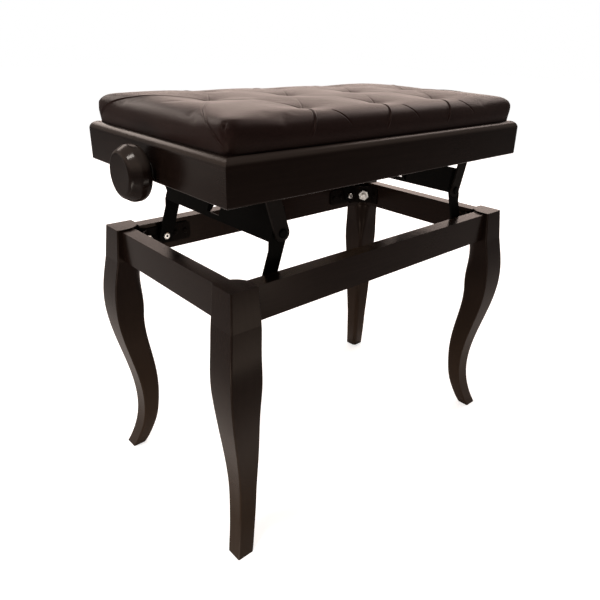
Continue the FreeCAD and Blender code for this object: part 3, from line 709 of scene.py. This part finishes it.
def screw_rings(low, high, steps=20):
    """Points round the screw, ring by ring along it."""
    rings_per_turn = 9
    steepness, crest = 2.4, 0.7
    radius = (high.z - low.z) / 2
    along = np.arange(low.x, high.x, LEAD / rings_per_turn)
    turn = np.arange(steps) * 2 * math.pi / steps
    away = np.abs(along)[:, None]
    wave = np.abs((away / LEAD - turn[None, :] / (2 * math.pi)) % 1 * 2 - 1)
    cut = np.clip(steepness * wave - crest, 0, 1)
    run = np.clip((away - THREAD_START) / LEAD, 0, 1) * np.clip((THREAD_END - away) / LEAD, 0, 1)
    reach = radius - THREAD_DEPTH * cut * run
    across = reach * np.cos(turn)
    upward = reach * np.sin(turn)
    middle = (low + high) / 2
    for x, ring_y, ring_z in zip(along, across, upward):
        yield [(x, middle.y + y, middle.z + z) for y, z in zip(ring_y, ring_z)]


def make_spindle():
    rings = list(screw_rings(*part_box("spindle")))
    piece = shown("threaded_spindle", skin("threaded_spindle", rings), turned_steel)
    for face in piece.data.polygons:
        face.use_smooth = len(face.vertices) == 4
    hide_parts("spindle")
    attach(piece, "screw_spindle")


make_spindle()


# Studio


def studio_floor():
    """A wide pale floor, white to the camera where no shadow falls."""
    mesh = bpy.data.meshes.new("floor")
    reach = 12.0
    corners = [(-reach, -reach, 0), (reach, -reach, 0), (reach, reach, 0), (-reach, reach, 0)]
    mesh.from_pydata(corners, [], [(0, 1, 2, 3)])
    floor = bpy.data.objects.new("floor", mesh)
    bpy.context.scene.collection.objects.link(floor)
    finish = new_finish("pale_floor")
    seen = seen_directly(finish) + 0.08 * mirrored(finish)
    point = finish.add("ShaderNodeTexCoord", output="Object")
    away = finish.add("ShaderNodeVectorMath", {"operation": "LENGTH"}, {0: point}, output="Value")
    whiter = finish.ramp(away * 0.3, [(0.2, 0.76), (0.8, 1.0)])
    finish.set({
        "Base Color": (0.80, 0.80, 0.80, 1.0),
        "Roughness": 0.9,
        "Specular IOR Level": 0.0,
        "Emission Color": finish.blend(seen * whiter, (0.0, 0.0, 0.0), (1.0, 1.0, 1.0)),
        "Emission Strength": 0.92,
    })
    mesh.materials.append(finish.owner)


def seen_directly(finish):
    """1 for rays from the camera or through glass, and 0 for the others."""
    camera = finish.add("ShaderNodeLightPath", output="Is Camera Ray")
    glass = finish.add("ShaderNodeLightPath", output="Is Transmission Ray")
    return camera.math("MAXIMUM", camera, glass)


def mirrored(finish):
    """1 for rays that come from a mirroring surface, and 0 for the others."""
    return finish.add("ShaderNodeLightPath", output="Is Glossy Ray")


def white_room():
    """White to the camera, a warm grey in mirroring surfaces, and a dimmer grey that fills the shadows."""
    world = bpy.data.worlds.new("white_room")
    bpy.context.scene.world = world
    room = Finish(world, "Background")
    unseen = room.blend(mirrored(room), (0.12, 0.115, 0.11), (0.50, 0.44, 0.40))
    room.set({"Color": room.blend(seen_directly(room), unseen, (1.0, 1.0, 1.0)), "Strength": 1.0})


def soft_box(name, place, aim, width, height, power, colour=(1.0, 1.0, 1.0)):
    """A soft lamp at a place, turned to a point."""
    data = bpy.data.lights.new(name, "AREA")
    data.color = colour
    data.shape = "RECTANGLE"
    data.size = width
    data.size_y = height
    data.energy = power
    lamp = bpy.data.objects.new(name, data)
    bpy.context.scene.collection.objects.link(lamp)
    away = Vector(place) - Vector(aim)
    lamp.matrix_world = Matrix.Translation(place) @ away.to_track_quat("Z", "Y").to_matrix().to_4x4()


def photo_camera():
    """The photograph's viewpoint, solved from the bench's own edges."""
    data = bpy.data.cameras.new("photo_camera")
    data.sensor_width = 36.0
    data.lens = 34.033
    data.shift_x = -0.0339
    data.shift_y = -0.05487
    data.clip_start = 0.05
    data.clip_end = 60.0
    turn = math.radians(-43.47)
    rise = math.radians(21.69)
    roll = math.radians(1.80)
    back = Vector((math.sin(turn) * math.cos(rise), -math.cos(turn) * math.cos(rise), math.sin(rise)))
    level = Vector((0, 0, 1)).cross(back).normalized()
    upright = back.cross(level)
    right = level * math.cos(roll) + upright * math.sin(roll)
    up = upright * math.cos(roll) - level * math.sin(roll)
    aim = Vector((0.00359, -0.00519, 0.300))
    distance = 0.92756
    stand = aim + back * distance
    camera = bpy.data.objects.new("photo_camera", data)
    bpy.context.scene.collection.objects.link(camera)
    turned = Matrix((right, up, back)).transposed().to_4x4()
    camera.matrix_world = Matrix.Translation(stand) @ turned
    bpy.context.scene.camera = camera


studio_floor()
white_room()
soft_box("back_sheen", (2.05, 2.15, 0.98), (0, 0, 0.60), 3.4, 0.62, 18, (1.0, 0.79, 0.70))
soft_box("back_high", (1.48, 1.56, 1.95), (0, 0, 0.57), 2.4, 1.1, 33, (1.0, 0.79, 0.70))
soft_box("back_left", (-0.35, 1.95, 1.50), (-0.28, 0, 0.5), 1.1, 0.6, 13, (1.0, 0.86, 0.78))
soft_box("right", (1.75, 0.1, 1.80), (0, -0.16, 0.5), 1.0, 0.8, 17, (1.0, 0.84, 0.78))
soft_box("key", (-1.15, -0.10, 2.19), (-0.2, 0, 0.5), 0.35, 0.35, 18, (1.0, 0.93, 0.87))
soft_box("rear_left", (-0.80, 0.55, 0.50), (-0.28, 0.05, 0.45), 0.4, 0.4, 0.4, (1.0, 0.9, 0.82))
soft_box("low_left", (-0.85, -0.30, 0.08), (-0.27, -0.15, 0.12), 0.5, 0.2, 2.8, (1.0, 0.9, 0.78))
soft_box("low_front", (0.12, -0.80, 0.06), (0.26, -0.16, 0.10), 0.5, 0.16, 1.0, (1.0, 0.9, 0.78))
photo_camera()
bpy.context.scene.view_settings.view_transform = "Standard"
